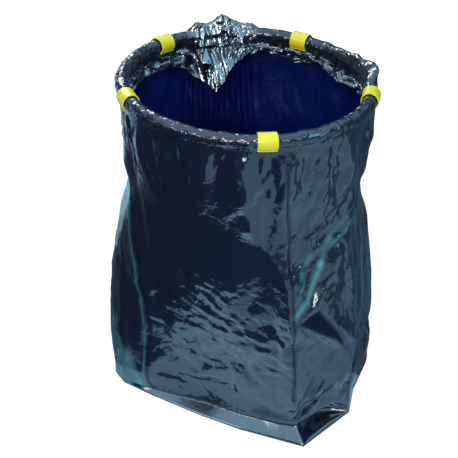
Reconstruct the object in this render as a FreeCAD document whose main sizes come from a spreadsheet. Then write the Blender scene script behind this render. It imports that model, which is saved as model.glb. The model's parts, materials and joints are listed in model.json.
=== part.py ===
import FreeCAD, Part
import Sketcher
import math
import os

# Bin bag holder: a pipe hoop with a film sack folded over it and held by five push-on clips.
# The hoop lies level, its centre on the Z axis, and the sack stands on the ground at Z = 0.
# An azimuth is an angle about the Z axis from +X, counted anticlockwise from above.

os.makedirs("parts", exist_ok=True)
doc = FreeCAD.newDocument("bin_bag_holder")
V = FreeCAD.Vector

# Sizes in mm and degrees
SIZES = (
    ("hoop_height", 560),
    ("hoop_radius", 200),
    ("tube_radius", 10.5),
    ("tube_wall", 1.8),
    ("tube_gap", 0.5),
    ("joiner_azimuth", 172),
    ("joiner_core", 7.9),
    ("joiner_nose", 7.1),
    ("joiner_rib", 8.6),
    ("joiner_angle", 18),
    ("stop_play", 0.1),
    ("rib_angle", 0.8),
    ("rib_pitch", 2),
    ("clip_inner", 12.6),
    ("clip_outer", 14.8),
    ("clip_angle", 8.6),
    ("clip_mouth", 84),
    ("lip_radius", 1.7),
    ("clip_round", 0.8),
    ("film_thickness", 0.8),
    ("film_radius", 12),
    ("wall_offset", 7.2),
    ("wall_top", 16.5),
    ("sack_girth", 1474),
    ("gusset_width", 280),
    ("hem_lip", 2.2),
    ("waist_height", 385),
    ("waist_spread", 62),
    ("waist_depth", 0.085),
)

RIBS_A_SIDE = 4

# Azimuth of each clip's middle on the hoop
CLIPS = (
    ("clip_front", 280),
    ("clip_right", 352),
    ("clip_back", 64),
    ("clip_back_left", 136),
    ("clip_left", 203),
)

sheet = doc.addObject("Spreadsheet::Sheet", "sizes")
for row, (alias, value) in enumerate(SIZES, start=1):
    sheet.set("A%d" % row, alias)
    sheet.set("B%d" % row, str(value))
    sheet.setAlias("B%d" % row, alias)
doc.recompute()


def size(alias):
    return float(sheet.get(alias))


# Bodies and their sketches
def new_body(label):
    body = doc.addObject("PartDesign::Body", label)
    body.Label = label
    return body


def upright_sketch(body, name):
    """A sketch on the body's XZ plane, so its vertical axis is the hoop's axis."""
    sketch = body.newObject("Sketcher::SketchObject", name)
    plane = [p for p in body.Origin.OriginFeatures if p.Role == "XZ_Plane"][0]
    sketch.AttachmentSupport = [(plane, "")]
    sketch.MapMode = "FlatFace"
    return sketch


def bind(sketch, constraint, name, expression):
    index = sketch.addConstraint(constraint)
    sketch.renameConstraint(index, name)
    sketch.setExpression("Constraints." + name, expression)


def centre_on_pipe(sketch, curve):
    """Hold a circle's or arc's centre on the pipe's centreline."""
    out = Sketcher.Constraint("DistanceX", -1, 1, curve, 3, size("hoop_radius"))
    up = Sketcher.Constraint("DistanceY", -1, 1, curve, 3, size("hoop_height"))
    bind(sketch, out, "centre_out", "sizes.hoop_radius")
    bind(sketch, up, "centre_up", "sizes.hoop_height")


def pipe_circle(sketch, radius_alias, name):
    centre = V(size("hoop_radius"), size("hoop_height"), 0)
    circle = sketch.addGeometry(Part.Circle(centre, V(0, 0, 1), size(radius_alias)), False)
    bind(sketch, Sketcher.Constraint("Radius", circle, size(radius_alias)), name, "sizes." + radius_alias)
    return circle


def turned(body, name, sketch, angle):
    """Sweep a sketch about the hoop's axis, the same angle to both sides."""
    feature = body.newObject("PartDesign::Revolution", name)
    feature.Profile = sketch
    feature.ReferenceAxis = (sketch, ["V_Axis"])
    feature.Midplane = True
    feature.setExpression("Angle", angle)
    return feature


def turn_to(body, azimuth):
    body.Placement = FreeCAD.Placement(V(0, 0, 0), FreeCAD.Rotation(V(0, 0, 1), azimuth))


# Hoop: one length of pipe bent to a ring, its cut ends nearly touching
def make_hoop_tube():
    body = new_body("hoop_tube")
    sketch = upright_sketch(body, "pipe_section")
    outside = pipe_circle(sketch, "tube_radius", "outside")
    centre_on_pipe(sketch, outside)
    bore_radius = size("tube_radius") - size("tube_wall")
    centre = V(size("hoop_radius"), size("hoop_height"), 0)
    bore = sketch.addGeometry(Part.Circle(centre, V(0, 0, 1), bore_radius), False)
    sketch.addConstraint(Sketcher.Constraint("Coincident", bore, 3, outside, 3))
    radius = Sketcher.Constraint("Radius", bore, bore_radius)
    bind(sketch, radius, "bore", "sizes.tube_radius - sizes.tube_wall")
    turned(body, "pipe_bend", sketch, "360 - sizes.tube_gap")
    turn_to(body, size("joiner_azimuth") - 180)
    return body


# Joiner: a plug along the pipe's bore, with a stop between the cut ends and gripping ribs to both sides
def make_hoop_joiner():
    body = new_body("hoop_joiner")
    sections = (
        ("core", "joiner_core", "sizes.joiner_angle"),
        ("nose", "joiner_nose", "sizes.joiner_angle + sizes.rib_pitch"),
        ("stop", "tube_radius", "sizes.tube_gap - sizes.stop_play"),
        ("rib", "joiner_rib", "sizes.rib_angle"),
    )
    for name, radius_alias, angle in sections:
        sketch = upright_sketch(body, name + "_section")
        centre_on_pipe(sketch, pipe_circle(sketch, radius_alias, name))
        rib = turned(body, name, sketch, angle)
    doc.recompute()

    for name, turned_back in (("ribs_ahead", False), ("ribs_behind", True)):
        pattern = body.newObject("PartDesign::PolarPattern", name)
        pattern.Originals = [rib]
        pattern.Axis = (sketch, ["V_Axis"])
        pattern.Reversed = turned_back
        pattern.Occurrences = RIBS_A_SIDE + 1
        pattern.Mode = "Spacing"
        pattern.setExpression("Offset", "sizes.rib_pitch")
        body.Tip = pattern
        doc.recompute()
    turn_to(body, size("joiner_azimuth"))
    return body


# Clip: an open ring curved with the hoop, its mouth facing down between two rounded lips
def lip_angles():
    """The directions of the lips, counted from outward over the top."""
    reach = size("clip_mouth") / 2
    return -90 + reach, 270 - reach


def add_clip_section(body):
    sketch = upright_sketch(body, "clip_section")
    centre = V(size("hoop_radius"), size("hoop_height"), 0)
    first, last = lip_angles()
    arcs = []
    for alias in ("clip_outer", "clip_inner"):
        circle = Part.Circle(centre, V(0, 0, 1), size(alias))
        arc = Part.ArcOfCircle(circle, math.radians(first), math.radians(last))
        arcs.append(sketch.addGeometry(arc, False))
        radius = Sketcher.Constraint("Radius", arcs[-1], size(alias))
        bind(sketch, radius, alias + "_radius", "sizes." + alias)
    outer, inner = arcs
    centre_on_pipe(sketch, outer)
    sketch.addConstraint(Sketcher.Constraint("Coincident", inner, 3, outer, 3))
    for arc_end, direction in ((1, first), (2, last)):
        ray = V(math.cos(math.radians(direction)), math.sin(math.radians(direction)), 0)
        edge = Part.LineSegment(centre + ray * size("clip_inner"), centre + ray * size("clip_outer"))
        line = sketch.addGeometry(edge, False)
        sketch.addConstraint(Sketcher.Constraint("Coincident", line, 1, inner, arc_end))
        sketch.addConstraint(Sketcher.Constraint("Coincident", line, 2, outer, arc_end))
        sketch.addConstraint(Sketcher.Constraint("PointOnObject", outer, 3, line))
        tilt = Sketcher.Constraint("Angle", line, math.radians(direction))
        formula = "-90 + sizes.clip_mouth / 2" if arc_end == 1 else "270 - sizes.clip_mouth / 2"
        bind(sketch, tilt, "lip_direction_%d" % arc_end, formula)
    return sketch


def add_lip_section(body):
    """Two beads that just reach the bore, so the lips thicken outward only."""
    sketch = upright_sketch(body, "lip_section")
    centre = V(size("hoop_radius"), size("hoop_height"), 0)
    bead_out = size("clip_inner") + size("lip_radius")
    rows = (("cos", "DistanceX", "hoop_radius"), ("sin", "DistanceY", "hoop_height"))
    for number, direction in enumerate(lip_angles(), start=1):
        ray = V(math.cos(math.radians(direction)), math.sin(math.radians(direction)), 0)
        middle = centre + ray * bead_out
        bead = sketch.addGeometry(Part.Circle(middle, V(0, 0, 1), size("lip_radius")), False)
        radius = Sketcher.Constraint("Radius", bead, size("lip_radius"))
        bind(sketch, radius, "bead_%d" % number, "sizes.lip_radius")
        turn = "(-90 + sizes.clip_mouth / 2)" if number == 1 else "(270 - sizes.clip_mouth / 2)"
        for function, kind, start in rows:
            value = middle.x if kind == "DistanceX" else middle.y
            place = Sketcher.Constraint(kind, -1, 1, bead, 3, value)
            formula = "sizes.%s + (sizes.clip_inner + sizes.lip_radius) * %s(%s * 1 deg)"
            bind(sketch, place, "%s_%d" % (function, number), formula % (start, function, turn))
    return sketch


def end_edges(feature, half_angle, least_radius):
    """Names of the round edges in the two end planes of a piece swept about the hoop's axis."""
    found = []
    slope = math.tan(math.radians(half_angle))
    for number, edge in enumerate(feature.Shape.Edges, start=1):
        if not isinstance(edge.Curve, Part.Circle) or edge.Curve.Radius < least_radius:
            continue
        flat = all(abs(abs(v.Point.y) - slope * v.Point.x) < 0.01 for v in edge.Vertexes)
        if flat and abs(edge.Curve.Axis.z) < 0.5:
            found.append("Edge%d" % number)
    return found


def on_bore(feature, edge_name):
    return abs(feature.getSubObject(edge_name).Curve.Radius - size("clip_inner")) < 0.1


def make_clip(label, azimuth):
    body = new_body(label)
    turned(body, "clip_bend", add_clip_section(body), "sizes.clip_angle")
    lips = turned(body, "lips", add_lip_section(body), "sizes.clip_angle")
    doc.recompute()
    rims = end_edges(lips, size("clip_angle") / 2, size("lip_radius") - 0.1)
    rims = [name for name in rims if not on_bore(lips, name)]
    fillet = body.newObject("PartDesign::Fillet", "soft_rims")
    fillet.Base = (lips, rims)
    fillet.setExpression("Radius", "sizes.clip_round")
    turn_to(body, azimuth)
    return body


# Sack: a gusseted tube of film, sealed across its foot. A distance along its girth is counted from the front
# crease over the pocket, anticlockwise from above, and the other creases follow at the panels' widths.

# The foot's outline on the ground: distance along the girth, X, Y
GROUND = (
    (0, 125, -212),
    (150, 205, -109),
    (215, 214, -44),
    (330, 245, 60),
    (457, 232, 165),
    (600, 105, 235),
    (737, -40, 262),
    (880, -160, 190),
    (1012, -215, 60),
    (1100, -205, -27),
    (1140, -188, -56),
    (1194, -137, -90),
    (1283, -51, -140),
    (1361, 18, -174),
    (1474, 125, -212),
)

# The seal's hem slopes from the ground up to the walls: distance along the girth, set back, height
HEM = ((0, 30, 24), (40, 18, 33), (95, 4, 45), (125, 2, 30), (150, 1, 9), (1140, 0, 8), (1194, 8, 8),
       (1287, 24, 12), (1375, 23, 18), (1440, 24, 22), (1474, 30, 24))

# The pocket that the hem leaves open at the front corner: distance along the girth, depth
POCKET = ((0, 0), (25, 28), (95, 42), (125, 26), (150, 0), (1474, 0))

# The middle that the foot is drawn in toward
FOOT_MIDDLE = V(0, 20, 0)

# Azimuth of the crease over the pocket, and the stretch of the hoop where the film's spare length is bunched
FIRST_AZIMUTH = -76
BUNCH_START = 88
BUNCH_SPAN = 32

# Rise and wavelengths of the shallow pleats under the pipe, and rise of the deep gathers of the bunch
PLEAT_RISE = 2.4
PLEAT_LENGTHS = (67, 103)
GATHER_RISE = 7

# How far below the pipe's grip the pleats and gathers have grown, start to fade, and how long the fade is
PLEATS_GROWN = 22
GATHERS_GROWN = 40
FADE_START = 30
PLEATS_FADE = 110
GATHERS_FADE = 340

# The film's way over the pipe, from outside and below, and its roughness and sway where it is bunched
WRAP_START = -52
WRAP_SPAN = 284
WRAP_STEPS = 12
BUNCH_ROUGHNESS = (-0.1, 0.8)
FLAP_SWAY = 1.5
FLAP_SWAY_LENGTH = 83
FLAP_GATHER = 3
FLAP_TILT = 4

# Ridges and hollows of the walls: a line from one distance and height to another, its rise and half width
FOLDS = (
    ("pocket crease", -6, 50, 20, 520, 6, 32),
    ("left crease, lower", 1186, 20, 1186, 230, 6, 32),
    ("left crease, upper", 1186, 230, 1145, 440, 6, 32),
    ("back right crease", 457, 20, 457, 420, 5, 34),
    ("back left crease", 737, 20, 737, 420, 5, 34),
    ("front fold, upper", 135, 520, 185, 395, 7, 36),
    ("front fold, diagonal", 185, 395, 12, 225, 10, 42),
    ("front fold, lower", 82, 255, 128, 95, 6, 36),
    ("front edge, upper", 1415, 500, 1428, 400, 7, 34),
    ("front edge, lower", 1428, 400, 1474, 322, 6, 34),
    ("overhang", 20, 290, 115, 190, 9, 42),
    ("left belly", 1000, 70, 1030, 165, 9, 130),
    ("left hollow", 1090, 440, 1130, 500, -9, 95),
    ("back fold", 600, 90, 690, 330, 8, 48),
    ("right fold", 330, 120, 420, 350, 5, 48),
    ("left fold", 880, 130, 960, 380, 8, 50),
)

# How far the film stands up over the wrapped pipe, and how far it leans out there: azimuth, distance
CRESTS = ((0, 0), (2.7, 0), (8.2, 12), (14, 16), (21, 8), (27, 11), (33, 4), (44, 0), (85.4, 0), (89, 8),
          (93, 7), (98, 12), (104, 24), (108, 12), (112, 8), (117, 15), (121, 0), (360, 0))
CREST_LEANS = ((0, 0), (2.7, 0), (8.2, 14), (15, 8), (24, 0), (85.4, 0), (104, 3), (121, 0), (360, 0))

# How far the folded-in mouth hangs below the pipe's middle: azimuth, drop
FLAP_DROPS = ((0, 26), (17, 30), (32, 38), (42, 36), (50, 24), (64, 36), (74, 26), (90, 28), (98, 34),
              (107, 74), (120, 76), (127, 44), (150, 36), (208, 40), (240, 32), (280, 44), (310, 32),
              (340, 36), (360, 26))


def smooth(x):
    x = min(max(x, 0.0), 1.0)
    return x * x * (3 - 2 * x)


def along(table, place, column=1):
    """A value read between the rows of a table."""
    for low, high in zip(table, table[1:]):
        if place <= high[0]:
            share = (place - low[0]) / (high[0] - low[0])
            return low[column] + (high[column] - low[column]) * share
    return table[-1][column]


def azimuth_at(place):
    """The hoop azimuth that a distance along the girth is drawn up to."""
    pitch = 2 * math.pi * (size("hoop_radius") + size("film_radius")) / 360
    spare = size("sack_girth") - 360 * pitch
    start = (BUNCH_START - FIRST_AZIMUTH) * pitch
    bunch = BUNCH_SPAN * pitch + spare
    if place <= start:
        return FIRST_AZIMUTH + place / pitch
    if place <= start + bunch:
        return BUNCH_START + (place - start) / bunch * BUNCH_SPAN
    return BUNCH_START + BUNCH_SPAN + (place - start - bunch) / pitch


def in_bunch(azimuth):
    """1 in the middle of the bunched stretch and 0 outside it."""
    off = abs(azimuth - BUNCH_START - BUNCH_SPAN / 2) / (BUNCH_SPAN / 2)
    return smooth((1.15 - off) / 0.3)


def fold_height(place, height):
    total = 0.0
    girth = size("sack_girth")
    for name, s0, z0, s1, z1, rise, reach in FOLDS:
        for turn in (-girth, 0, girth):
            ds, dz = s1 - s0, z1 - z0
            share = ((place + turn - s0) * ds + (height - z0) * dz) / (ds * ds + dz * dz)
            share = min(max(share, 0.0), 1.0)
            off = math.hypot(place + turn - s0 - share * ds, height - z0 - share * dz)
            total += rise * max(0.0, 1 - off / reach)
    return total


def pleat_height(place, station, height):
    """Gathers that start below the pipe, deep where the film is bunched and shallow elsewhere."""
    below = size("hoop_height") - size("wall_top") - height
    shallow = smooth(below / PLEATS_GROWN) * (1 - smooth((below - FADE_START) / PLEATS_FADE))
    deep = (0.35 + 0.65 * smooth(below / GATHERS_GROWN)) * (1 - smooth((below - FADE_START) / GATHERS_FADE))
    short, long = (2 * math.pi * place / length for length in PLEAT_LENGTHS)
    wave = math.sin(short) + 0.6 * math.sin(long + 1)
    bunched = in_bunch(azimuth_at(place))
    side = 1 if station % 2 else -1
    return (1 - bunched) * PLEAT_RISE * shallow * wave + bunched * GATHER_RISE * deep * side


def wall_foot(place):
    """The ground point, the direction to the sack's middle and the foot of the wall above the hem."""
    ground = V(along(GROUND, place, 1), along(GROUND, place, 2), 0)
    inward = (FOOT_MIDDLE - ground).normalize()
    return ground, inward, ground + inward * along(HEM, place, 1) + V(0, 0, along(HEM, place, 2))


def wall_point(place, station, share):
    """A point of the outer wall, share 0 at its foot and 1 just under the pipe."""
    foot = wall_foot(place)[2]
    low = foot.z
    foot.z = 0
    top = size("hoop_height") - size("wall_top")
    height = low + (top - low) * share
    azimuth = math.radians(azimuth_at(place))
    outward = V(math.cos(azimuth), math.sin(azimuth), 0)
    ring = outward * (size("hoop_radius") + size("wall_offset"))
    point = foot + (ring - foot) * smooth(0.04 + 0.96 * share)
    pinch = math.exp(-(((height - size("waist_height")) / size("waist_spread")) ** 2))
    point = point * (1 - size("waist_depth") * pinch)
    near_foot = smooth(share / 0.06)
    point += outward * near_foot * (fold_height(place, height) + pleat_height(place, station, height))
    point.z = height
    return point


def foot_points(place):
    """From the ground up to the wall's foot, by way of the pocket where it is open."""
    ground, inward, foot = wall_foot(place)
    depth = along(POCKET, place)
    lip = size("hem_lip")
    low = ground + V(0, 0, lip)
    opened = smooth(depth / 10)
    back_low = ground + inward * depth + V(0, 0, lip + 0.8)
    back_high = foot + inward * depth - V(0, 0, 3)
    plain_low = low + (foot - low) * 0.35
    plain_high = low + (foot - low) * 0.7
    return [
        ground,
        low,
        plain_low + (back_low - plain_low) * opened,
        plain_high + (back_high - plain_high) * opened,
    ]


def mouth_points(place, station):
    """Over the pipe from the outside and down its inner side to the film's free edge."""
    azimuth = azimuth_at(place)
    outward = V(math.cos(math.radians(azimuth)), math.sin(math.radians(azimuth)), 0)
    crest = along(CRESTS, azimuth % 360)
    lean = along(CREST_LEANS, azimuth % 360)
    bunched = in_bunch(azimuth)
    rough = bunched * BUNCH_ROUGHNESS[station % 2]
    middle = outward * size("hoop_radius") + V(0, 0, size("hoop_height"))
    points = []
    for step in range(WRAP_STEPS + 1):
        angle = math.radians(WRAP_START + WRAP_SPAN * step / WRAP_STEPS)
        up = max(math.sin(angle), 0.0)
        out = (size("film_radius") + rough) * math.cos(angle) + lean * up ** 3
        rise = (size("film_radius") + rough) * math.sin(angle) + crest * up ** 2
        points.append(middle + outward * out + V(0, 0, rise))
    drop = along(FLAP_DROPS, azimuth % 360)
    side = 1 if station % 2 else -1
    sway = FLAP_SWAY * math.sin(2 * math.pi * place / FLAP_SWAY_LENGTH) + bunched * FLAP_GATHER * side
    points.append(middle - outward * size("wall_offset") - V(0, 0, size("wall_top")))
    for share in (0.5, 1.0):
        below = size("wall_top") + (drop - size("wall_top")) * share
        inset = size("wall_offset") + share * (FLAP_TILT + sway)
        points.append(middle - outward * inset - V(0, 0, below))
    return points


WALL_SHARES = (0, 0.05, 0.11, 0.18, 0.26, 0.34, 0.42, 0.5, 0.57, 0.64, 0.71, 0.78, 0.84, 0.9, 0.95, 0.98, 1)


def stations():
    """Distances along the girth, with one on every crease."""
    narrow = size("gusset_width")
    wide = size("sack_girth") / 2 - narrow
    places = []
    start = 0.0
    for width, count in ((wide, 22), (narrow, 14), (wide, 22), (narrow, 14)):
        places += [start + width * step / count for step in range(count)]
        start += width
    return places


def outer_film():
    columns = []
    for station, place in enumerate(stations()):
        column = foot_points(place)
        column += [wall_point(place, station, share) for share in WALL_SHARES]
        column += mouth_points(place, station)
        columns.append(column)
    return columns


def inner_film(outer):
    """The same film moved in by its thickness, along each point's own normal."""
    count = len(outer)
    thickness = size("film_thickness")
    inner = []
    for i, column in enumerate(outer):
        before, after = outer[i - 1], outer[(i + 1) % count]
        moved = []
        for k, point in enumerate(column):
            below, above = column[max(k - 1, 0)], column[min(k + 1, len(column) - 1)]
            round_way = (after[k] - point).normalize() + (point - before[k]).normalize()
            up_way = above - point if k == 0 else point - below
            if 0 < k < len(column) - 1:
                up_way = (above - point).normalize() + (point - below).normalize()
            normal = round_way.cross(up_way).normalize()
            moved.append(point - normal * thickness)
        flat_in = moved[0] - column[0]
        moved[0] = column[0] + V(flat_in.x, flat_in.y, 0) + V(0, 0, thickness)
        inner.append(moved)
    return inner


def make_bin_bag():
    outer = outer_film()
    inner = inner_film(outer)
    count, levels = len(outer), len(outer[0])
    points = [p for column in outer + inner for p in column]
    points += [FOOT_MIDDLE, FOOT_MIDDLE + V(0, 0, size("film_thickness"))]

    def corner(layer, station, level):
        return layer * count * levels + (station % count) * levels + level

    triangles = []
    for i in range(count):
        for k in range(levels - 1):
            a, b = corner(0, i, k), corner(0, i + 1, k)
            c, d = corner(0, i + 1, k + 1), corner(0, i, k + 1)
            triangles += [(a, b, c), (a, c, d)]
            shift = count * levels
            triangles += [(a + shift, c + shift, b + shift), (a + shift, d + shift, c + shift)]
        edge = (corner(0, i, levels - 1), corner(0, i + 1, levels - 1))
        hidden = (corner(1, i, levels - 1), corner(1, i + 1, levels - 1))
        triangles += [(edge[0], edge[1], hidden[1]), (edge[0], hidden[1], hidden[0])]
        under = len(points) - 2
        triangles.append((under, corner(0, i + 1, 0), corner(0, i, 0)))
        triangles.append((under + 1, corner(1, i, 0), corner(1, i + 1, 0)))
    skin = Part.Shape()
    skin.makeShapeFromMesh((points, triangles), 0.001)
    bag = doc.addObject("Part::Feature", "bin_bag")
    bag.Label = "bin_bag"
    bag.Shape = Part.Solid(skin)
    bag.Placement = FreeCAD.Placement()
    return bag


def check_and_export(parts):
    for item in doc.Objects:
        if "Invalid" in item.State or "Error" in item.State:
            raise RuntimeError("%s failed to build" % item.Name)
    for part in parts:
        if part.Shape.isNull() or not part.Shape.isValid() or len(part.Shape.Solids) != 1:
            raise RuntimeError("%s isn't one valid solid" % part.Label)
    for part in parts:
        part.Shape.exportStep("parts/%s.step" % part.Label)
        print(part.Label, round(part.Shape.Volume))


parts = [make_hoop_tube(), make_hoop_joiner()]
parts += [make_clip(label, azimuth) for label, azimuth in CLIPS]
parts.append(make_bin_bag())
doc.recompute()
check_and_export(parts)
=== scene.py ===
import json
import math

import bpy
import numpy as np
from mathutils import Matrix, Vector

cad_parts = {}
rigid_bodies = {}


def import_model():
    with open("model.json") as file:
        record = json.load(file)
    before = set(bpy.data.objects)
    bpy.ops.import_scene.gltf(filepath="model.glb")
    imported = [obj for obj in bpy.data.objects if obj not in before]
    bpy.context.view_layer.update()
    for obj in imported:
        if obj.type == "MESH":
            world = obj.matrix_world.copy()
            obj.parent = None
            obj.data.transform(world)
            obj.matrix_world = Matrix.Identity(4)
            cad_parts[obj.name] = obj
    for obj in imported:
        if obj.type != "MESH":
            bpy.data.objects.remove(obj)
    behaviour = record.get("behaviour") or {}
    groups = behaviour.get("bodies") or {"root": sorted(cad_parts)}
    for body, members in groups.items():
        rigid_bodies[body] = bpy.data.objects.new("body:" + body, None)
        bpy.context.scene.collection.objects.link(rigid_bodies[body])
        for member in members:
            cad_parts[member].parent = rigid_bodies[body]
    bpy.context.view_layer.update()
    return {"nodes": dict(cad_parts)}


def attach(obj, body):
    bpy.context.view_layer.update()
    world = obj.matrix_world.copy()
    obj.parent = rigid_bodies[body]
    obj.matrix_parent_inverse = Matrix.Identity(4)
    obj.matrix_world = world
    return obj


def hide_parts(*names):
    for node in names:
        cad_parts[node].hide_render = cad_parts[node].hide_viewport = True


# Bin bag holder: looks for the hoop, the clips and the film sack that hangs from the hoop.
# Lengths are in metres, and in mm where a heading says so. A distance along the sack's girth is counted
# from the crease over the pocket, anticlockwise from above. An azimuth is an angle about the hoop's axis
# from +X, in degrees.

for leftover in list(bpy.data.objects):
    bpy.data.objects.remove(leftover)
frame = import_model()
MM = 0.001

# Hoop and sack sizes, as in the part
HOOP_HEIGHT = 560 * MM
HOOP_RADIUS = 200 * MM
FILM_RADIUS = 11.4 * MM
WALL_OFFSET = 7.0 * MM
WALL_TOP = 16.5 * MM
WALL_HEIGHT = HOOP_HEIGHT - WALL_TOP
GIRTH = 1474 * MM
FOOT_MIDDLE_Y = 0.02

# Where the girth starts, where its spare film is bunched (from, width), and its even radius elsewhere
POCKET_AZIMUTH = -76
BUNCH = (88, 32)
EVEN_RADIUS = 212 * MM
# The bunch is over at this share of its half width, and fades over this much before
BUNCH_END = 1.15
BUNCH_EASE = 0.3

# The film's grid: stations round it, and rows up the foot at shares of its height, up the walls, over the
# pipe and down the flap, the last two about one pitch apart
STATIONS = 400
FOOT_SHARES = (0.12, 0.24, 0.36, 0.5, 0.64, 0.76, 0.88)
FOOT_ROWS = 2 + len(FOOT_SHARES)
WALL_ROWS = 180
WRAP_ROWS = 23
FLAP_ROWS = 22
MOUTH_ROWS = WRAP_ROWS + FLAP_ROWS
ROW_PITCH = 0.0026
MOUTH_LENGTH = (MOUTH_ROWS - 1) * ROW_PITCH
FOOT = slice(0, FOOT_ROWS)
WALLS = slice(FOOT_ROWS, FOOT_ROWS + WALL_ROWS)
MOUTH = slice(-MOUTH_ROWS, None)
FLAP = slice(-FLAP_ROWS, None)

# The sack's bottom: rings as shares of the foot's outline, lift off the floor, waves in it, how rumpled it is
BOTTOM_SHARES = (0.9, 0.75, 0.6, 0.45, 0.3, 0.15)
BOTTOM_LIFT = 0.9 * MM
BOTTOM_WAVES = (31, 17)
BOTTOM_RUMPLED = 0.5

# The settling of the walls: a coarser grid, frames, how firmly the end rows are held, and the cloth's values
SETTLE_STATIONS = 220
SETTLE_ROWS = 90
SETTLE_FRAMES = 40
HELD_ROWS = (1, 1, 0.5)
CLOTH = {
    "quality": 6, "mass": 0.01, "air_damping": 4, "tension_stiffness": 30, "compression_stiffness": 30,
    "shear_stiffness": 20, "bending_stiffness": 0.5, "shrink_min": -0.004,
}
# How many rows and stations to each side count as near, for the mean that is taken off as drift
DRIFT_REACH = 7

# The foot's outline on the ground: distance along the girth, X, Y in mm
GROUND = np.array((
    (0, 125, -212), (150, 205, -109), (215, 214, -44), (330, 245, 60), (457, 232, 165), (600, 105, 235),
    (737, -40, 262), (880, -160, 190), (1012, -215, 60), (1100, -205, -27), (1140, -188, -56),
    (1194, -137, -90), (1283, -51, -140), (1361, 18, -174), (1474, 125, -212),
)) * MM
# Its corners behind, between these distances, are rounded off by this much, with a soft start and end
CORNER_REACH = 24 * MM
ROUNDED_PART = (0.25, 1.0)
ROUNDED_EASE = 0.08
ROUNDED_SAMPLES = 11
# The hem: distance along the girth, set back, height in mm
HEM = np.array((
    (0, 30, 24), (40, 18, 33), (95, 4, 45), (125, 2, 30), (150, 1, 9), (1140, 0, 8), (1194, 8, 8),
    (1287, 24, 12), (1375, 23, 18), (1440, 24, 22), (1474, 30, 24),
)) * MM
# The open pocket: distance along the girth, depth in mm
POCKET = np.array(((0, 0), (25, 28), (95, 42), (125, 26), (150, 0), (1474, 0))) * MM
# Its fold starts this high, keeps this far off the film above and below, turns at two shares of the height,
# and is full where the pocket is this deep
FOLD_START = 0.0022
POCKET_ROOM = 0.003
POCKET_TURNS = (0.36, 0.64)
POCKET_EASE = 0.01

# Ridges and hollows of the walls in mm: from one distance and height to another, rise, half width
FOLDS = (
    ("pocket crease", -6, 50, 20, 520, 6, 32),
    ("left crease, lower", 1186, 20, 1186, 230, 6, 32),
    ("left crease, upper", 1186, 230, 1145, 440, 6, 32),
    ("back right crease", 457, 20, 457, 420, 5, 34),
    ("back left crease", 737, 20, 737, 420, 5, 34),
    ("front fold, upper", 135, 520, 185, 395, 7, 36),
    ("front fold, diagonal", 185, 395, 12, 225, 10, 42),
    ("front fold, lower", 82, 255, 128, 95, 6, 36),
    ("front edge, upper", 1415, 500, 1428, 400, 7, 34),
    ("front edge, lower", 1428, 400, 1474, 322, 6, 34),
    ("overhang", 20, 290, 115, 190, 9, 42),
    ("left belly", 1000, 70, 1030, 165, 9, 130),
    ("left hollow", 1090, 440, 1130, 500, -9, 95),
    ("back fold", 600, 90, 690, 330, 8, 48),
    ("right fold", 330, 120, 420, 350, 5, 48),
    ("left fold", 880, 130, 960, 380, 8, 50),
)
# Shares of the wall's height: where its way from the foot's outline to the hoop starts, and folds are full
WALL_START = 0.04
FOLDS_FULL = 0.06
# The waist: height, reach up and down, and the share by which it is drawn in
WAIST_HEIGHT = 0.385
WAIST_REACH = 0.062
WAIST_PINCH = 0.085
# Pleats under the hoop: each wave's length, share and shift, then rise, where they are full, and their fade
PLEAT_WAVES = ((0.067, 1, 0), (0.103, 0.6, 1))
PLEAT_RISE = 0.0024
PLEAT_START = 0.022
PLEAT_FADE = 0.11
# Gathers of the bunched film: half a wave, rise, its share at the top, where they are full, and their fade
GATHER_LENGTH = 0.0205
GATHER_RISE = 0.007
GATHER_AT_TOP = 0.35
GATHER_START = 0.04
GATHER_FADE = 0.34
# Both start to fade this far down
FADE_FROM = 0.03

# Crests over the pipe: azimuth, rise in mm, then azimuth, lean in mm
CRESTS = np.array((
    (0, 0), (2.7, 0), (8.2, 12), (14, 16), (21, 8), (27, 11), (33, 4), (44, 0), (85.4, 0), (89, 8),
    (93, 7), (98, 12), (104, 24), (108, 12), (112, 8), (117, 15), (121, 0), (360, 0),
))
CREST_LEANS = np.array((
    (0, 0), (2.7, 0), (8.2, 14), (15, 8), (24, 0), (85.4, 0), (104, 3), (121, 0), (360, 0),
))
# The film goes round the pipe between these angles of its section, outside to inside, 90 on top
WRAP_ANGLES = (-52, 232)
# How far the folded-in mouth hangs below the pipe's middle: azimuth, drop in mm
FLAP_DROPS = np.array((
    (0, 26), (17, 30), (32, 38), (42, 36), (50, 24), (64, 36), (74, 26), (90, 28), (98, 38), (104, 58),
    (110, 84), (116, 68), (122, 60), (128, 42), (150, 36), (208, 40), (240, 32), (280, 44), (310, 32),
    (340, 36), (360, 26),
))
# How far its free edge leans in from there: azimuth, lean in mm
FLAP_LEANS = np.array((
    (0, 5), (84, 6), (96, 24), (106, 38), (114, 34), (124, 18), (134, 8), (208, 5), (360, 5),
))
# Where the film leaves the pipe at its crest and spans straight down to the flap: azimuth, share
LOOSE = np.array(((0, 0), (84, 0), (94, 0.7), (101, 1), (116, 1), (124, 0), (360, 0)))
# Loose film: the angle where it leaves the pipe, softly, how far inside the pipe's middle it starts, how much
# further in it ends, how much further in the flap hangs below it, and its rows on the pipe
LOOSE_ANGLE = 95
LOOSE_EASE = 0.1
LOOSE_START = 0.001
LOOSE_SLOPE = 0.016
LOOSE_INSET = 0.010
LOOSE_ROWS = 11

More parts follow.
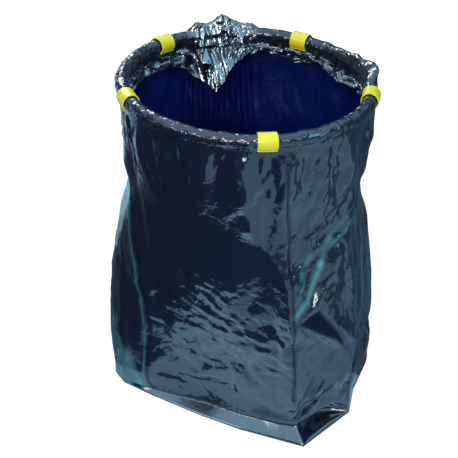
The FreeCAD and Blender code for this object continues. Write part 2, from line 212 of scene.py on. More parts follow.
# Straight creases with flat flanks: seed, how many, heights, lengths, half widths, rise, lean in degrees and
# its spread, and distances round. Each has a share of the rise between two shares.
RISE_SHARES = (0.35, 1)
WHOLE_WALL = (0.0, WALL_HEIGHT)
WHOLE_GIRTH = (0, GIRTH)
CREASES = (
    (3, 200, WHOLE_WALL, (0.06, 0.22), (0.014, 0.034), 0.0018, (70, 35), WHOLE_GIRTH),
    (5, 500, WHOLE_WALL, (0.02, 0.07), (0.006, 0.012), 0.0006, (60, 60), WHOLE_GIRTH),
    (21, 150, (0.17, 0.30), (0.015, 0.05), (0.003, 0.006), 0.0014, (-40, 22), (1.23, 1.43)),
    (22, 60, (0.10, 0.20), (0.02, 0.06), (0.005, 0.010), 0.0022, (-25, 25), (1.20, 1.46)),
    (23, 30, (0.0, 0.05), (0.03, 0.09), (0.006, 0.014), 0.0030, (30, 35), (1.44, 1.56)),
    (24, 90, (0.22, 0.42), (0.02, 0.08), (0.004, 0.010), 0.0022, (50, 25), (0.02, 0.20)),
    (25, 120, (0.46, 0.54), (0.02, 0.08), (0.004, 0.008), 0.0034, (88, 14), (1.10, 1.62)),
    (26, 120, (0.40, 0.54), (0.03, 0.09), (0.005, 0.012), 0.0030, (90, 12), (0.0, 1.1)),
)
# The same for the tucks over the pipe, the creases that hang in loose film and the flap, and streaks in the
# painted light
TUCKS = (7, 1300, (0, MOUTH_LENGTH), (0.012, 0.06), (0.005, 0.011), 0.0009, (60, 45), WHOLE_GIRTH)
HANGING = (9, 420, (0.03, MOUTH_LENGTH), (0.03, 0.09), (0.007, 0.018), 0.006, (75, 38), WHOLE_GIRTH)
STREAKS = (31, 1500, (0, 0.55), (0.01, 0.05), (0.004, 0.01), 0.5, (0, 90), WHOLE_GIRTH)
# The lowest and highest tuck, the rows over which hanging creases grow, and the heights over which the walls'
# creases start and end
TUCK_LIMITS = (-0.0006, 0.0009)
HANGING_ROWS = 6
CREASE_ENDS = (0.03, 0.015)

# Fine grooves, with painted shade along them, and creases painted with teal light as if it came through: from
# one distance and height to another in mm, strength
GROOVES = (
    (16, 530, 25, 379, 0.9), (25, 379, 9, 239, 0.9), (9, 239, -7, 58, 0.9), (1155, 403, 1194, 232, 0.7),
    (1194, 232, 1186, 11, 0.7), (457, 20, 457, 420, 0.6), (737, 20, 737, 420, 0.6), (2, 12, 70, 62, 0.8),
    (6, 8, 88, 42, 0.8), (0, 20, 48, 84, 0.5), (1408, 16, 1462, 8, 0.7), (1462, 8, 1474, 12, 0.7),
    (84, 230, 98, 176, 0.35), (98, 176, 150, 100, 0.5), (150, 100, 215, 32, 0.6),
)
# How deep and wide a groove is, and how wide its painted shade
GROOVE_DEPTH = 0.0022
GROOVE_WIDTH = 0.005
GROOVE_SHADE_WIDTH = 0.0045
LIT_CREASES = (
    (1149, 403, 1186, 232, 0.5), (1186, 232, 1178, 11, 0.55), (192, 389, 89, 322, 0.5),
    (89, 322, 14, 228, 0.6), (178, 400, 72, 325, 0.25), (80, 305, 20, 240, 0.4), (64, 320, 12, 250, 0.3),
    (1144, 440, 1125, 500, 0.25), (1100, 20, 1085, 150, 0.35), (1125, 15, 1120, 130, 0.45),
    (236, 290, 240, 165, 0.6), (240, 165, 252, 88, 0.4),
)
LIT_CREASE_WIDTH = 0.0042
# Wider patches painted with teal light as if it came through, given likewise
LIT_PATCHES = (
    (13, 234, 46, 262, 0.95), (46, 262, 82, 312, 0.95), (36, 296, 64, 324, 0.6), (82, 312, 112, 350, 0.5),
)
LIT_PATCH_WIDTH = 0.0085
# Facets painted dark as shade, where the film would face the dark ground: their corners, each a distance and
# height in mm, and strength
DARK_FACETS = (
    (((11, 216), (140, 102), (58, 238)), 0.95),
    (((1376, 4), (1441, 2), (1470, 16), (1422, 26), (1388, 22)), 0.45),
)
DARK_FACET_BLUR = 0.006
# The foot's corner painted with teal light: distances along the girth, how high the painted light reaches
# there, blur and strength
LIT_CORNER = ((1.02, 1.07, 1.10, 1.14, 1.18, 1.19), (0.0, 0.16, 0.15, 0.08, 0.02, 0.0))
LIT_CORNER_BLUR = 0.03
LIT_CORNER_STRENGTH = 0.65
# How streaks break up the painted light: their mean and most, a gain and a cut for patches and for the corner
STREAK_MEAN = 0.7
STREAK_MOST = 1.3
PATCH_CONTRAST = (2.2, 0.9)
CORNER_CONTRAST = (1.8, 0.75)
CORNER_LEAST = 0.15
# How rumpled the film is on the foot, the walls, over the pipe and on the flap
FOOT_RUMPLED = 0.05
WALL_RUMPLED = 0.22
WRAP_RUMPLED = 0.62
FLAP_RUMPLED = 0.4
# How much more the film mirrors on the foot and, at the least, on the flap
FOOT_LAYERED = 0.36
FLAP_LAYERED = 0.4

# Colours, and the plastics' and the film's roughness and refraction
OUTER_FILM = ((0.007, 0.012, 0.021), 0.13, 1.62)
# The inner film's deep blue is painted light: it stands for the light that comes through the film
INNER_FILM_PAINTED_GLOW = ((0.001, 0.006, 0.064), 0.42, 1.28)
PIPE_BLACK = ((0.02, 0.02, 0.022), 0.5, 1.5)
CLIP_YELLOW = ((0.68, 0.52, 0.008), 0.32, 1.5)
SILVER = (0.21, 0.24, 0.26)
SILVER_ROUGHNESS = 0.2
# GLOW is painted teal light for the creases, patches and the foot's corner
GLOW = (0.1, 0.28, 0.29)
# SHADE is painted shade for the grooves and the dark facets
SHADE = (0.004, 0.008, 0.014)
# A painted blue rim light where the film is seen edge-on: its colour, and the blend and power of its facing
# share
PAINTED_RIM_LIGHT = (0.004, 0.12, 0.27)
RIM_BLEND = 0.5
RIM_POWER = 15
# The film's crinkle: its cells' scale and share, how they are bent, and its depth
CRINKLE_CELLS = ((34, 1.0), (90, 0.4))
CRINKLE_WARP_SCALE = 18
CRINKLE_WARP = 0.06
CRINKLE_DEPTH = 0.006
# The plastics' grain: scale, strength and depth
GRAIN_SCALE = 900
GRAIN_STRENGTH = 0.06
GRAIN_DEPTH = 0.0004

# The floor as the eye sees it: size, white of its own, and the colour that takes the lights and the shadow
FLOOR_SIZE = 30
FLOOR_WHITE = 0.84
FLOOR_TINT = (0.34, 0.25, 0.2)
# What the film mirrors there, each from a range of places to a range of strengths: a sheet of light, its left
# edge further right ahead, brighter near the foot but not beside it, dimmer close in; dark just behind the
# sack; and a weak light to its right
MIRRORED_COLOR = (0.43, 0.75, 1.0)
EDGE_AHEAD = ((-0.60, -0.25), (0.34, 0))
EDGE = ((-0.25, -0.21), (0.03, 1.3))
NEAR_FOOT = ((-0.36, -0.24), (1, 1.65))
BESIDE_X = ((0.10, 0.26), (0, 0.6))
BESIDE_Y = ((-0.36, -0.16), (0, 1))
CLOSE_IN = ((-0.22, 0.05), (1, 0.25))
FAR_BEHIND = ((0.35, 0.6), (0.1, 1))
RIGHT_SIDE = ((0.14, 0.26), (0, 0.17))

# The surround: its colours low down and overhead, and where one passes into the other
SKY_LOW = (0.08, 0.11, 0.15, 1)
SKY_HIGH = (1.0, 1.6, 2.1, 1)
SKY_START = (0.42, 0.82)
WHITE = (1, 1, 1)
# Area lights: name, place, the height on the hoop's axis that they aim at, size, power and colour
LIGHTS = (
    ("key", (-0.15, -2.4, 1.8), 0.45, (1.3, 0.9), 50, WHITE),
    ("left", (-1.85, -1.3, 1.75), 0.45, (0.9, 0.45), 10, WHITE),
    ("side", (1.9, -1.0, 1.6), 0.45, (0.6, 0.9), 9, (0.35, 0.9, 1.0)),
    ("back", (-0.8, 1.7, 1.5), 0.5, (0.9, 0.6), 18, (0.9, 0.96, 1.0)),
)

# The photograph's view: distance, elevation, focal length and width in pixels, and the aim's turns in degrees.
# The sensor's width is in mm.
VIEW_DISTANCE = 2.6
VIEW_ELEVATION = 25.456
FOCAL_PIXELS = 1615.7
PHOTO_PIXELS = 458
PAN, TILT, ROLL = -0.423, 5.156, 2.712
SENSOR = 36


# Places on the film
def smooth(x):
    """0 to 1, with a soft start and end."""
    x = np.clip(x, 0.0, 1.0)
    return x * x * (3 - 2 * x)


def table_at(table, place, column=1):
    return np.interp(place, table[:, 0], table[:, column])


def places_round(count):
    return np.arange(count) * GIRTH / count


def azimuth_at(place):
    """The hoop azimuth in degrees that a distance along the girth is drawn up to."""
    pitch = 2 * math.pi * EVEN_RADIUS / 360
    first, width = BUNCH
    start = (first - POCKET_AZIMUTH) * pitch
    bunch = width * pitch + GIRTH - 360 * pitch
    knots = (0, start, start + bunch, GIRTH)
    return np.interp(place, knots, (POCKET_AZIMUTH, first, first + width, POCKET_AZIMUTH + 360))


def outward_at(place):
    azimuth = np.radians(azimuth_at(place))
    return np.stack([np.cos(azimuth), np.sin(azimuth), np.zeros_like(azimuth)], -1)


def loose_at(place):
    return table_at(LOOSE, azimuth_at(place) % 360)


def in_bunch(azimuth):
    """1 where the film is bunched, 0 elsewhere."""
    first, width = BUNCH
    off = np.abs(azimuth - first - width / 2) / (width / 2)
    return smooth((BUNCH_END - off) / BUNCH_EASE)


def distances_from(line, place, height):
    """How far each place is from a line between two distances and heights in mm, once for each turn."""
    s0, z0, s1, z1 = (v * MM for v in line)
    ds, dz = s1 - s0, z1 - z0
    for turn in (-GIRTH, 0, GIRTH):
        share = ((place + turn - s0) * ds + (height - z0) * dz) / (ds * ds + dz * dz)
        share = np.clip(share, 0, 1)
        yield np.hypot(place + turn - s0 - share * ds, height - z0 - share * dz)


def near_lines(lines, place, height, width):
    """Each line's strength on it and 0 a width away."""
    mark = np.zeros(np.broadcast(place, height).shape)
    for *line, strength in lines:
        for off in distances_from(line, place, height):
            mark = np.maximum(mark, strength * np.clip(1 - off / width, 0, 1))
    return mark


def in_facets(facets, place, height, blur):
    """Each facet's strength well inside it and 0 outside; its corners go anticlockwise."""
    mark = np.zeros(np.broadcast(place, height).shape)
    for corners, strength in facets:
        depth = np.full(mark.shape, np.inf)
        for (s0, z0), (s1, z1) in zip(corners, corners[1:] + corners[:1]):
            s0, z0, s1, z1 = (v * MM for v in (s0, z0, s1, z1))
            side = (s1 - s0) * (height - z0) - (z1 - z0) * (place - s0)
            depth = np.minimum(depth, side / math.hypot(s1 - s0, z1 - z0))
        mark = np.maximum(mark, strength * np.clip(depth / blur, 0, 1))
    return mark


def crumple(place, along, seed, count, span, length, reach, rise, lean, girth):
    """Many short straight creases with flat flanks, over a grid of distances round and along the film."""
    rng = np.random.default_rng(seed)
    field = np.zeros((len(along), len(place)))
    for _ in range(count):
        s0, v0 = rng.uniform(*girth), rng.uniform(*span)
        size, flank = rng.uniform(*length), rng.uniform(*reach)
        turn = math.radians(rng.normal(*lean))
        height = rise * rng.uniform(*RISE_SHARES) * rng.choice((-1, 1))
        far = size / 2 + flank
        ds = (place - s0 + GIRTH / 2) % GIRTH - GIRTH / 2
        columns = np.where(np.abs(ds) < far)[0]
        levels = np.where(np.abs(along - v0) < far)[0]
        if not len(columns) or not len(levels):
            continue
        x, y = ds[columns][None, :], (along[levels] - v0)[:, None]
        lengthwise = x * math.cos(turn) + y * math.sin(turn)
        across = -x * math.sin(turn) + y * math.cos(turn)
        fade = np.clip(1 - (2 * lengthwise / size) ** 2, 0, 1)
        field[np.ix_(levels, columns)] += height * fade * np.clip(1 - np.abs(across) / flank, 0, 1)
    return field


# Foot and walls
def ground_points(place):
    """The foot's outline, its corners slightly rounded off behind by a mean over the near girth."""
    first, last = ROUNDED_PART
    behind = smooth((place - first) / ROUNDED_EASE) * smooth((last - place) / ROUNDED_EASE)
    points = []
    for column in (1, 2):
        plain = table_at(GROUND, place, column)
        shifts = np.linspace(-CORNER_REACH, CORNER_REACH, ROUNDED_SAMPLES)
        rounded = np.mean([table_at(GROUND, place + shift, column) for shift in shifts], 0)
        points.append(plain + (rounded - plain) * behind)
    return np.stack(points + [np.zeros_like(place)], -1)


def hem_points(place):
    """Ground point, direction to the middle and foot of the wall."""
    ground = ground_points(place)
    inward = np.array((0, FOOT_MIDDLE_Y, 0)) - ground
    inward = inward / np.linalg.norm(inward, axis=-1, keepdims=True)
    foot = ground + inward * table_at(HEM, place, 1)[:, None]
    foot[:, 2] = table_at(HEM, place, 2)
    return ground, inward, foot


def foot_rows(place):
    """Rows from the ground up to the wall's foot, by way of the open pocket."""
    ground, inward, foot = hem_points(place)
    depth = table_at(POCKET, place)[:, None]
    low = ground + (0, 0, FOLD_START)
    opened = smooth(depth / POCKET_EASE)
    back_low = ground + inward * depth + (0, 0, POCKET_ROOM)
    back_high = foot + inward * depth - (0, 0, POCKET_ROOM)
    first, second = POCKET_TURNS
    rows = [ground, low]
    for share in FOOT_SHARES:
        plain = low + (foot - low) * share
        if share <= first:
            hidden = low + (back_low - low) * (share / first)
        elif share <= second:
            hidden = back_low + (back_high - back_low) * ((share - first) / (second - first))
        else:
            hidden = back_high + (foot - back_high) * ((share - second) / (1 - second))
        rows.append(plain + (hidden - plain) * opened)
    return rows


def fold_height(place, height):
    """The rise of the named folds."""
    total = np.zeros(np.broadcast(place, height).shape)
    for _, *line, rise, reach in FOLDS:
        for off in distances_from(line, place, height):
            total = total + rise * MM * np.maximum(0, 1 - off / (reach * MM))
    return total


def pleat_height(place, height):
    """Soft pleats under the hoop and, where the film is bunched, sharp gathers that reach further down."""
    below = WALL_HEIGHT - height
    shallow = smooth(below / PLEAT_START) * (1 - smooth((below - FADE_FROM) / PLEAT_FADE))
    deep = GATHER_AT_TOP + (1 - GATHER_AT_TOP) * smooth(below / GATHER_START)
    deep = deep * (1 - smooth((below - FADE_FROM) / GATHER_FADE))
    wave = sum(share * np.sin(2 * np.pi * place / length + shift) for length, share, shift in PLEAT_WAVES)
    bunched = in_bunch(azimuth_at(place))
    zigzag = np.arcsin(np.sin(np.pi * place / GATHER_LENGTH)) / (np.pi / 2)
    return (1 - bunched) * PLEAT_RISE * shallow * wave + bunched * GATHER_RISE * deep * zigzag


def wall_rows(place, count):
    """Rows of the outer wall from its foot, share 0, to just under the pipe, share 1."""
    foot = hem_points(place)[2]
    outward = outward_at(place)
    flat_foot = foot * (1, 1, 0)
    ring = outward * (HOOP_RADIUS + WALL_OFFSET)
    rows = []
    for share in np.linspace(0, 1, count):
        height = foot[:, 2] + (WALL_HEIGHT - foot[:, 2]) * share
        point = flat_foot + (ring - flat_foot) * smooth(WALL_START + (1 - WALL_START) * share)
        pinch = 1 - WAIST_PINCH * np.exp(-(((height - WAIST_HEIGHT) / WAIST_REACH) ** 2))
        point = point * pinch[:, None]
        lift = smooth(share / FOLDS_FULL) * (fold_height(place, height) + pleat_height(place, height))
        point = point + outward * lift[:, None]
        point[:, 2] = height
        rows.append(point)
    return np.array(rows)


# Over the pipe and inside
def mouth_rows(place):
    """Rows over the pipe from outside and down its inner side to the film's free edge."""
    azimuth = azimuth_at(place) % 360
    outward = outward_at(place)
    crest = table_at(CRESTS, azimuth)[:, None] * MM
    lean = table_at(CREST_LEANS, azimuth)[:, None] * MM
    loose = loose_at(place)[:, None]
    middle = outward * HOOP_RADIUS + (0, 0, HOOP_HEIGHT)
    up_axis = np.array((0, 0, 1.0))
    first, last = WRAP_ANGLES
    rows = []
    for share in np.linspace(0, 1, WRAP_ROWS):
        angle = math.radians(first + (last - first) * share)
        up = max(math.sin(angle), 0.0)
        out = FILM_RADIUS * math.cos(angle) + lean * up ** 3
        rise = FILM_RADIUS * math.sin(angle) + crest * up ** 2
        past = max(math.degrees(angle) - LOOSE_ANGLE, 0) / (last - LOOSE_ANGLE)
        spanned = FILM_RADIUS + crest - (FILM_RADIUS + crest + WALL_TOP) * past
        off_pipe = loose * smooth(past / LOOSE_EASE)
        out = out + (-LOOSE_START - LOOSE_SLOPE * past - out) * off_pipe
        rise = rise + (spanned - rise) * off_pipe
        clear = np.maximum(1, FILM_RADIUS / np.hypot(out, rise))
        rows.append(middle + outward * out * clear + up_axis * rise * clear)
    drop = table_at(FLAP_DROPS, azimuth)[:, None] * MM
    lean_in = table_at(FLAP_LEANS, azimuth)[:, None] * MM
    for share in np.linspace(0, 1, FLAP_ROWS):
        below = WALL_TOP + (drop - WALL_TOP) * share
        inset = WALL_OFFSET + LOOSE_INSET * loose + lean_in * share
        rows.append(middle - outward * inset - up_axis * below)
    return np.array(rows)


# Settling
def grid_faces(levels, count):
    faces = []
    for k in range(levels - 1):
        for i in range(count):
            j = (i + 1) % count
            low, high = k * count, (k + 1) * count
            faces.append((low + i, low + j, high + j, high + i))
    return faces


def new_object(name, points, faces):
    mesh = bpy.data.meshes.new(name)
    mesh.from_pydata([tuple(p) for p in points], [], faces)
    mesh.update()
    obj = bpy.data.objects.new(name, mesh)
    bpy.context.scene.collection.objects.link(obj)
    return obj


def settled(rows):
    """The walls after they have sagged and buckled between the pipe and the ground, both held."""
    levels, count = rows.shape[:2]
    obj = new_object("settling", rows.reshape(-1, 3), grid_faces(levels, count))
    held = obj.vertex_groups.new(name="held")
    for k, weight in enumerate(HELD_ROWS):
        for row in (k, levels - 1 - k):
            held.add(list(range(row * count, (row + 1) * count)), weight, "REPLACE")
    cloth = obj.modifiers.new("cloth", "CLOTH")
    cloth.settings.vertex_group_mass = "held"
    for name, value in CLOTH.items():
        setattr(cloth.settings, name, value)
    cloth.point_cache.frame_start = 1
    cloth.point_cache.frame_end = SETTLE_FRAMES
    for frame_number in range(1, SETTLE_FRAMES + 1):
        bpy.context.scene.frame_set(frame_number)
    shown = obj.evaluated_get(bpy.context.evaluated_depsgraph_get())
    moved = np.empty(levels * count * 3)
    shown.to_mesh().vertices.foreach_get("co", moved)
    bpy.data.objects.remove(obj)
    bpy.context.scene.frame_set(1)
    return moved.reshape(levels, count, 3)


def drift(field):
    """The slow part of a movement, its mean over the near girth and height; none at the held rows."""
    slow = field
    for _ in range(2):
        slow = np.mean([np.roll(slow, k, 1) for k in range(-DRIFT_REACH, DRIFT_REACH + 1)], 0)
        padded = np.pad(slow, ((DRIFT_REACH, DRIFT_REACH), (0, 0), (0, 0)), "edge")
        slow = np.mean([padded[k:k + len(slow)] for k in range(2 * DRIFT_REACH + 1)], 0)
    row = np.arange(len(slow))
    return slow * smooth(np.minimum(row, row[::-1]) / DRIFT_REACH)[:, None, None]


def spread(field, levels, count):
    """A field on a coarse grid, closed round the girth, read on a finer one."""
    coarse_levels, coarse_count = field.shape[:2]
    v = np.linspace(0, coarse_levels - 1, levels)
    u = np.arange(count) * coarse_count / count
    low_v = np.minimum(v.astype(int), coarse_levels - 2)
    low_u = u.astype(int)
    share_v = (v - low_v)[:, None, None]
    share_u = (u - low_u)[None, :, None]
    left = field[:, low_u] * (1 - share_u) + field[:, (low_u + 1) % coarse_count] * share_u
    return left[low_v] * (1 - share_v) + left[low_v + 1] * share_v


# The whole film
def outward_normals(rows):
    round_way = np.roll(rows, -1, 1) - np.roll(rows, 1, 1)
    up_way = np.gradient(rows, axis=0)
    normal = np.cross(round_way, up_way)
    return normal / np.maximum(np.linalg.norm(normal, axis=-1, keepdims=True), 1e-12)


def lifted(rows, rise):
    """Rows of points moved outward by a rise for each."""
    return rows + outward_normals(rows) * rise[:, :, None]


def film_walls(place):
    """The walls with the buckles of their settling, their creases and their grooves."""
    walls = wall_rows(place, WALL_ROWS)
    coarse = wall_rows(places_round(SETTLE_STATIONS), SETTLE_ROWS)
    moved = settled(coarse) - coarse
    walls = walls + spread(moved - drift(moved), WALL_ROWS, STATIONS)
    height = np.linspace(0, WALL_HEIGHT, WALL_ROWS)
    low_end, high_end = CREASE_ENDS
    edge = smooth(height / low_end) * smooth((WALL_HEIGHT - height) / high_end)
    creases = sum(crumple(place, height, *crease) for crease in CREASES)
    creases -= GROOVE_DEPTH * near_lines(GROOVES, place[None, :], height[:, None], GROOVE_WIDTH)
    return lifted(walls, creases * edge[:, None])


def film_mouth(place):
    """The film over the pipe with its tucks, and creases that hang in the loose film and the flap."""
    along = np.arange(MOUTH_ROWS) * ROW_PITCH
    mouth = lifted(mouth_rows(place), np.clip(crumple(place, along, *TUCKS), *TUCK_LIMITS))
    start = WRAP_ROWS - 1 - LOOSE_ROWS * loose_at(place)
    grown = np.clip((np.arange(MOUTH_ROWS)[:, None] - start[None, :]) / HANGING_ROWS, 0, 1)
    hanging = crumple(place, along, *HANGING)
    hanging[:WRAP_ROWS] = np.maximum(hanging[:WRAP_ROWS], 0)
    return lifted(mouth, hanging * grown)


def film_rows():
    """One sheet of film: the foot, the walls, over the pipe and down to its free edge inside."""
    place = places_round(STATIONS)
    return np.concatenate([np.array(foot_rows(place)), film_walls(place), film_mouth(place)])


def film_marks(shape):
    """How rumpled the film is at each point, where a crease is painted with teal light as if it came through,
    where a groove or facet is painted dark as shade, and where several layers lie on each other and mirror
    more."""
    place = places_round(STATIONS)
    height = np.linspace(0, WALL_HEIGHT, WALL_ROWS)
    across, up = place[None, :], height[:, None]
    rumpled = np.full(shape, WALL_RUMPLED)
    rumpled[FOOT] = FOOT_RUMPLED
    rumpled[MOUTH] = WRAP_RUMPLED
    rumpled[FLAP] = FLAP_RUMPLED

    # Painted teal light along creases, in patches and on the foot's corner, broken up by streaks
    broken = np.clip(STREAK_MEAN + crumple(place, height, *STREAKS), 0, STREAK_MOST)
    creases = broken * near_lines(LIT_CREASES, across, up, LIT_CREASE_WIDTH)
    gain, cut = PATCH_CONTRAST
    patches = np.clip(gain * broken - cut, 0, 1) * near_lines(LIT_PATCHES, across, up, LIT_PATCH_WIDTH)
    reach = np.interp(place, *LIT_CORNER)[None, :]
    gain, cut = CORNER_CONTRAST
    streaks = np.clip(gain * broken - cut, CORNER_LEAST, 1)
    corner = LIT_CORNER_STRENGTH * streaks * smooth((reach - up) / LIT_CORNER_BLUR)
    lit = np.zeros(shape)
    lit[WALLS] = np.maximum(np.maximum(creases, patches), corner)

    # Painted shade along the grooves and on the dark facets
    grooves = near_lines(GROOVES, across, up, GROOVE_SHADE_WIDTH)
    painted_shade = np.zeros(shape)
    painted_shade[WALLS] = np.maximum(grooves, in_facets(DARK_FACETS, across, up, DARK_FACET_BLUR))

    loose = loose_at(place)
    layered = np.zeros(shape)
    layered[FOOT] = FOOT_LAYERED
    layered[-FLAP_ROWS - LOOSE_ROWS:] = loose
    layered[FLAP] = np.maximum(loose, FLAP_LAYERED)
    return {"rumpled": rumpled, "lit": lit, "painted_shade": painted_shade, "layered": layered}


def bottom_rings(outline, middle):
    """Rings inside the foot's outline, a little uneven."""
    rings = []
    for share in BOTTOM_SHARES:
        ring = (outline - middle) * share + middle
        wave = np.sin(BOTTOM_WAVES[0] * ring[:, 0] + BOTTOM_WAVES[1] * ring[:, 1])
        ring[:, 2] = BOTTOM_LIFT * (1 + np.abs(wave))
        rings.append(ring)
    return rings


def bottom_faces(start, count):
    """Faces from the foot's outline, the first points, over the rings from start on, in to the middle."""
    rings = len(BOTTOM_SHARES)
    faces = []
    for r in range(rings + 1):
        outer = 0 if r == 0 else start + (r - 1) * count
        inner = start + r * count
        for i in range(count):
            j = (i + 1) % count
            if r < rings:
                faces.append((outer + j, outer + i, inner + i, inner + j))
            else:
                faces.append((outer + j, outer + i, inner))
    return faces


def film_object():
    rows = film_rows()
    levels, count = rows.shape[:2]
    points = rows.reshape(-1, 3)
    middle = np.array((0, FOOT_MIDDLE_Y, BOTTOM_LIFT))
    everything = np.concatenate([points] + bottom_rings(rows[0], middle) + [middle[None, :]])
    faces = grid_faces(levels, count) + bottom_faces(len(points), count)
    obj = new_object("film_sack", everything, faces)
    for name, mark in film_marks((levels, count)).items():
        values = np.full(len(everything), BOTTOM_RUMPLED if name == "rumpled" else 0.0)
        values[:len(points)] = mark.ravel()
        obj.data.attributes.new(name, "FLOAT", "POINT").data.foreach_set("value", values)
    for poly in obj.data.polygons:
        poly.use_smooth = True
    return obj


# Parts of materials
def new_material(name):
    material = bpy.data.materials.new(name)
    material.use_nodes = True
    tree = material.node_tree
    tree.nodes.clear()
    output = tree.nodes.new("ShaderNodeOutputMaterial")
    return material, tree, output.inputs["Surface"]


def principled(tree, color, roughness, refraction):
    shader = tree.nodes.new("ShaderNodeBsdfPrincipled")
    shader.inputs["Base Color"].default_value = (*color, 1)
    shader.inputs["Roughness"].default_value = roughness
    shader.inputs["IOR"].default_value = refraction
    return shader


def colored(tree, kind, color):
    """A simple shader in one colour."""
    shader = tree.nodes.new(kind)
    shader.inputs["Color"].default_value = (*color, 1)
    return shader


def mixed(tree, share, first, second):
    """The first shader where the share is 0, the second where it is 1."""
    mix = tree.nodes.new("ShaderNodeMixShader")
    for socket, value in zip(mix.inputs, (share, first, second)):
        tree.links.new(value, socket)
    return mix.outputs[0]


def marked(tree, name):
    """One of the film's marks."""
    mark = tree.nodes.new("ShaderNodeAttribute")
    mark.attribute_name = name
    return mark.outputs["Fac"]


def ranged(tree, value, given, wanted):
    """A value moved from one range to another and held inside it."""
    node = tree.nodes.new("ShaderNodeMapRange")
    node.inputs["From Min"].default_value, node.inputs["From Max"].default_value = given
    node.inputs["To Min"].default_value, node.inputs["To Max"].default_value = wanted
    tree.links.new(value, node.inputs["Value"])
    return node.outputs["Result"]


def calculated(tree, operation, *values):
    """The result for values that are numbers or outputs of other nodes."""
    node = tree.nodes.new("ShaderNodeMath")
    node.operation = operation
    for socket, value in zip(node.inputs, values):
        if isinstance(value, (int, float)):
            socket.default_value = value
        else:
            tree.links.new(value, socket)
    return node.outputs[0]


# Materials
def crinkle(tree):
    """A bump of bent cells in two sizes, as strong as the film is rumpled."""
    links = tree.links
    coords = tree.nodes.new("ShaderNodeTexCoord").outputs["Object"]
    warp = tree.nodes.new("ShaderNodeTexNoise")
    warp.inputs["Scale"].default_value = CRINKLE_WARP_SCALE
    bent = tree.nodes.new("ShaderNodeMix")
    bent.data_type = "VECTOR"
    bent.inputs["Factor"].default_value = CRINKLE_WARP
    links.new(coords, warp.inputs["Vector"])
    links.new(coords, bent.inputs["A"])
    links.new(warp.outputs["Color"], bent.inputs["B"])
    height = 0
    for scale, share in CRINKLE_CELLS:
        cells = tree.nodes.new("ShaderNodeTexVoronoi")
        cells.feature = "DISTANCE_TO_EDGE"
        cells.inputs["Scale"].default_value = scale
        links.new(bent.outputs["Result"], cells.inputs["Vector"])
        height = calculated(tree, "MULTIPLY_ADD", cells.outputs["Distance"], share, height)
    bump = tree.nodes.new("ShaderNodeBump")
    bump.inputs["Distance"].default_value = CRINKLE_DEPTH
    links.new(marked(tree, "rumpled"), bump.inputs["Strength"])
    links.new(height, bump.inputs["Height"])
    return bump.outputs[0]


def film_material():
    """Thin glossy film: near black outside, deep blue inside as painted light through it, silvery where it
    lies in layers, painted teal light where a crease lets light through, painted shade in the grooves and dark
    facets, and a painted blue rim light at its rim."""
    material, tree, surface = new_material("film")
    outer = principled(tree, *OUTER_FILM)
    inner = principled(tree, *INNER_FILM_PAINTED_GLOW)
    silver = colored(tree, "ShaderNodeBsdfGlossy", SILVER)
    silver.inputs["Roughness"].default_value = SILVER_ROUGHNESS
    glow = colored(tree, "ShaderNodeBsdfDiffuse", GLOW)
    shade = colored(tree, "ShaderNodeBsdfDiffuse", SHADE)
    painted_rim_light = colored(tree, "ShaderNodeBsdfDiffuse", PAINTED_RIM_LIGHT)

    inside = tree.nodes.new("ShaderNodeNewGeometry").outputs["Backfacing"]
    shown = mixed(tree, inside, outer.outputs[0], inner.outputs[0])
    # Marked places take the silver gloss, the painted teal light and the painted shade
    for name, shader in (("layered", silver), ("lit", glow), ("painted_shade", shade)):
        shown = mixed(tree, marked(tree, name), shown, shader.outputs[0])
    # Painted blue rim light where the film turns edge-on
    grazing = tree.nodes.new("ShaderNodeLayerWeight")
    grazing.inputs["Blend"].default_value = RIM_BLEND
    at_rim = calculated(tree, "POWER", grazing.outputs["Facing"], RIM_POWER)
    tree.links.new(mixed(tree, at_rim, shown, painted_rim_light.outputs[0]), surface)

    bump = crinkle(tree)
    for shader in (outer, inner, silver):
        tree.links.new(bump, shader.inputs["Normal"])
    return material


def plastic_material(name, color, roughness, refraction):
    material, tree, surface = new_material(name)
    shader = principled(tree, color, roughness, refraction)
    grain = tree.nodes.new("ShaderNodeTexNoise")
    grain.inputs["Scale"].default_value = GRAIN_SCALE
    bump = tree.nodes.new("ShaderNodeBump")
    bump.inputs["Strength"].default_value = GRAIN_STRENGTH
    bump.inputs["Distance"].default_value = GRAIN_DEPTH
    tree.links.new(grain.outputs["Fac"], bump.inputs["Height"])
    tree.links.new(bump.outputs[0], shader.inputs["Normal"])
    tree.links.new(shader.outputs[0], surface)
    return material


def mirrored_strength(tree):
    """How bright the floor is in the film; its front half is repeated behind, turned half round."""
    coords = tree.nodes.new("ShaderNodeTexCoord")
    parts = tree.nodes.new("ShaderNodeSeparateXYZ")
    tree.links.new(coords.outputs["Object"], parts.inputs[0])
    floor_x, floor_y = parts.outputs["X"], parts.outputs["Y"]
    front_sign = calculated(tree, "MULTIPLY", calculated(tree, "SIGN", floor_y), -1)
    x = calculated(tree, "MULTIPLY", floor_x, front_sign)
    y = calculated(tree, "MULTIPLY", calculated(tree, "ABSOLUTE", floor_y), -1)
    from_edge = calculated(tree, "SUBTRACT", x, ranged(tree, y, *EDGE_AHEAD))
    sheet = ranged(tree, from_edge, *EDGE)
    beside = calculated(tree, "MULTIPLY", ranged(tree, x, *BESIDE_X), ranged(tree, y, *BESIDE_Y))
    near = calculated(tree, "SUBTRACT", ranged(tree, y, *NEAR_FOOT), beside)
    dimmed = calculated(tree, "MULTIPLY", ranged(tree, y, *CLOSE_IN), near)
    front = calculated(tree, "LESS_THAN", floor_y, 0)
    kept = calculated(tree, "MAXIMUM", front, ranged(tree, floor_y, *FAR_BEHIND))
    shown = calculated(tree, "MULTIPLY", sheet, calculated(tree, "MULTIPLY", dimmed, kept))
    return calculated(tree, "MAXIMUM", shown, ranged(tree, floor_x, *RIGHT_SIDE))


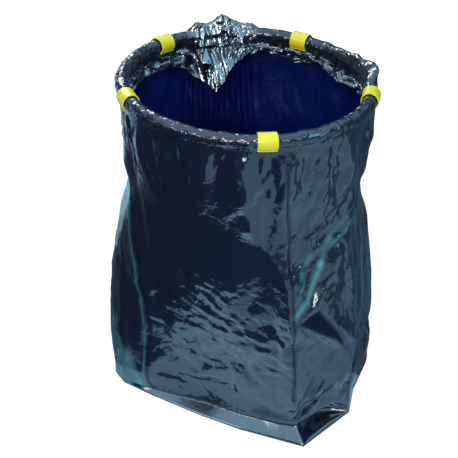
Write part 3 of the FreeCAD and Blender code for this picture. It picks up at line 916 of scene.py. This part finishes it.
def floor_material():
    """Pale for the eye. What the film mirrors is a light sheet on the right and a dark ground to its left."""
    material, tree, surface = new_material("ground")
    white = colored(tree, "ShaderNodeEmission", WHITE)
    white.inputs["Strength"].default_value = FLOOR_WHITE
    shadowed = colored(tree, "ShaderNodeBsdfDiffuse", FLOOR_TINT)
    pale = tree.nodes.new("ShaderNodeAddShader")
    tree.links.new(white.outputs[0], pale.inputs[0])
    tree.links.new(shadowed.outputs[0], pale.inputs[1])
    mirrored = colored(tree, "ShaderNodeEmission", MIRRORED_COLOR)
    tree.links.new(mirrored_strength(tree), mirrored.inputs["Strength"])
    seen = tree.nodes.new("ShaderNodeLightPath").outputs["Is Camera Ray"]
    tree.links.new(mixed(tree, seen, mirrored.outputs[0], pale.outputs[0]), surface)
    return material


# Stage
def add_floor():
    bpy.ops.mesh.primitive_plane_add(size=FLOOR_SIZE, location=(0, 0, 0))
    floor = bpy.context.object
    floor.name = "floor"
    floor.data.materials.append(floor_material())


def add_area(name, place, aim_height, size, power, color):
    light = bpy.data.lights.new(name, "AREA")
    light.shape = "RECTANGLE"
    light.size, light.size_y = size
    light.energy = power
    light.color = color
    obj = bpy.data.objects.new(name, light)
    bpy.context.scene.collection.objects.link(obj)
    obj.location = place
    aim = Vector((0, 0, aim_height)) - Vector(place)
    obj.rotation_euler = aim.to_track_quat("-Z", "Y").to_euler()


def add_world():
    """White for the eye; for the rest a dark surround that turns bright overhead."""
    world = bpy.data.worlds.new("surround")
    bpy.context.scene.world = world
    world.use_nodes = True
    tree = world.node_tree
    links = tree.links
    coords = tree.nodes.new("ShaderNodeTexCoord")
    parts = tree.nodes.new("ShaderNodeSeparateXYZ")
    links.new(coords.outputs["Generated"], parts.inputs[0])
    sky = tree.nodes.new("ShaderNodeMix")
    sky.data_type = "RGBA"
    sky.inputs["A"].default_value = SKY_LOW
    sky.inputs["B"].default_value = SKY_HIGH
    links.new(ranged(tree, parts.outputs["Z"], SKY_START, (0, 1)), sky.inputs["Factor"])
    path = tree.nodes.new("ShaderNodeLightPath")
    mix = tree.nodes.new("ShaderNodeMix")
    mix.data_type = "RGBA"
    mix.inputs["B"].default_value = (*WHITE, 1)
    links.new(sky.outputs["Result"], mix.inputs["A"])
    links.new(path.outputs["Is Camera Ray"], mix.inputs["Factor"])
    links.new(mix.outputs["Result"], tree.nodes["Background"].inputs["Color"])


def add_camera():
    """A camera that looks from the front, above the hoop, at the photograph's angle."""
    e = math.radians(VIEW_ELEVATION)
    place = Vector((0, -VIEW_DISTANCE * math.cos(e), VIEW_DISTANCE * math.sin(e) + HOOP_HEIGHT))
    a, e = math.radians(PAN), math.radians(VIEW_ELEVATION + TILT)
    forward = Vector((math.sin(a) * math.cos(e), math.cos(a) * math.cos(e), -math.sin(e)))
    right = forward.cross(Vector((0, 0, 1))).normalized()
    up = right.cross(forward)
    r = math.radians(ROLL)
    right, up = right * math.cos(r) + up * math.sin(r), up * math.cos(r) - right * math.sin(r)
    data = bpy.data.cameras.new("camera")
    data.sensor_width = SENSOR
    data.lens = FOCAL_PIXELS / PHOTO_PIXELS * SENSOR
    camera = bpy.data.objects.new("camera", data)
    bpy.context.scene.collection.objects.link(camera)
    turn = Matrix((right, up, -forward)).transposed().to_4x4()
    camera.matrix_world = Matrix.Translation(place) @ turn
    bpy.context.scene.camera = camera
    bpy.context.scene.view_settings.view_transform = "Standard"


# Dressing the part
def dress(obj, material):
    obj.data.materials.clear()
    obj.data.materials.append(material)


film = film_object()
film.data.materials.append(film_material())
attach(film, "hoop")
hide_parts("bin_bag")

pipe = plastic_material("pipe_black", *PIPE_BLACK)
yellow = plastic_material("clip_yellow", *CLIP_YELLOW)
for name, node in frame["nodes"].items():
    if name.startswith("clip"):
        dress(node, yellow)
    elif name == "hoop_tube":
        dress(node, pipe)
    elif name == "hoop_joiner":
        dress(node, pipe)

add_floor()
add_world()
for light in LIGHTS:
    add_area(*light)
add_camera()
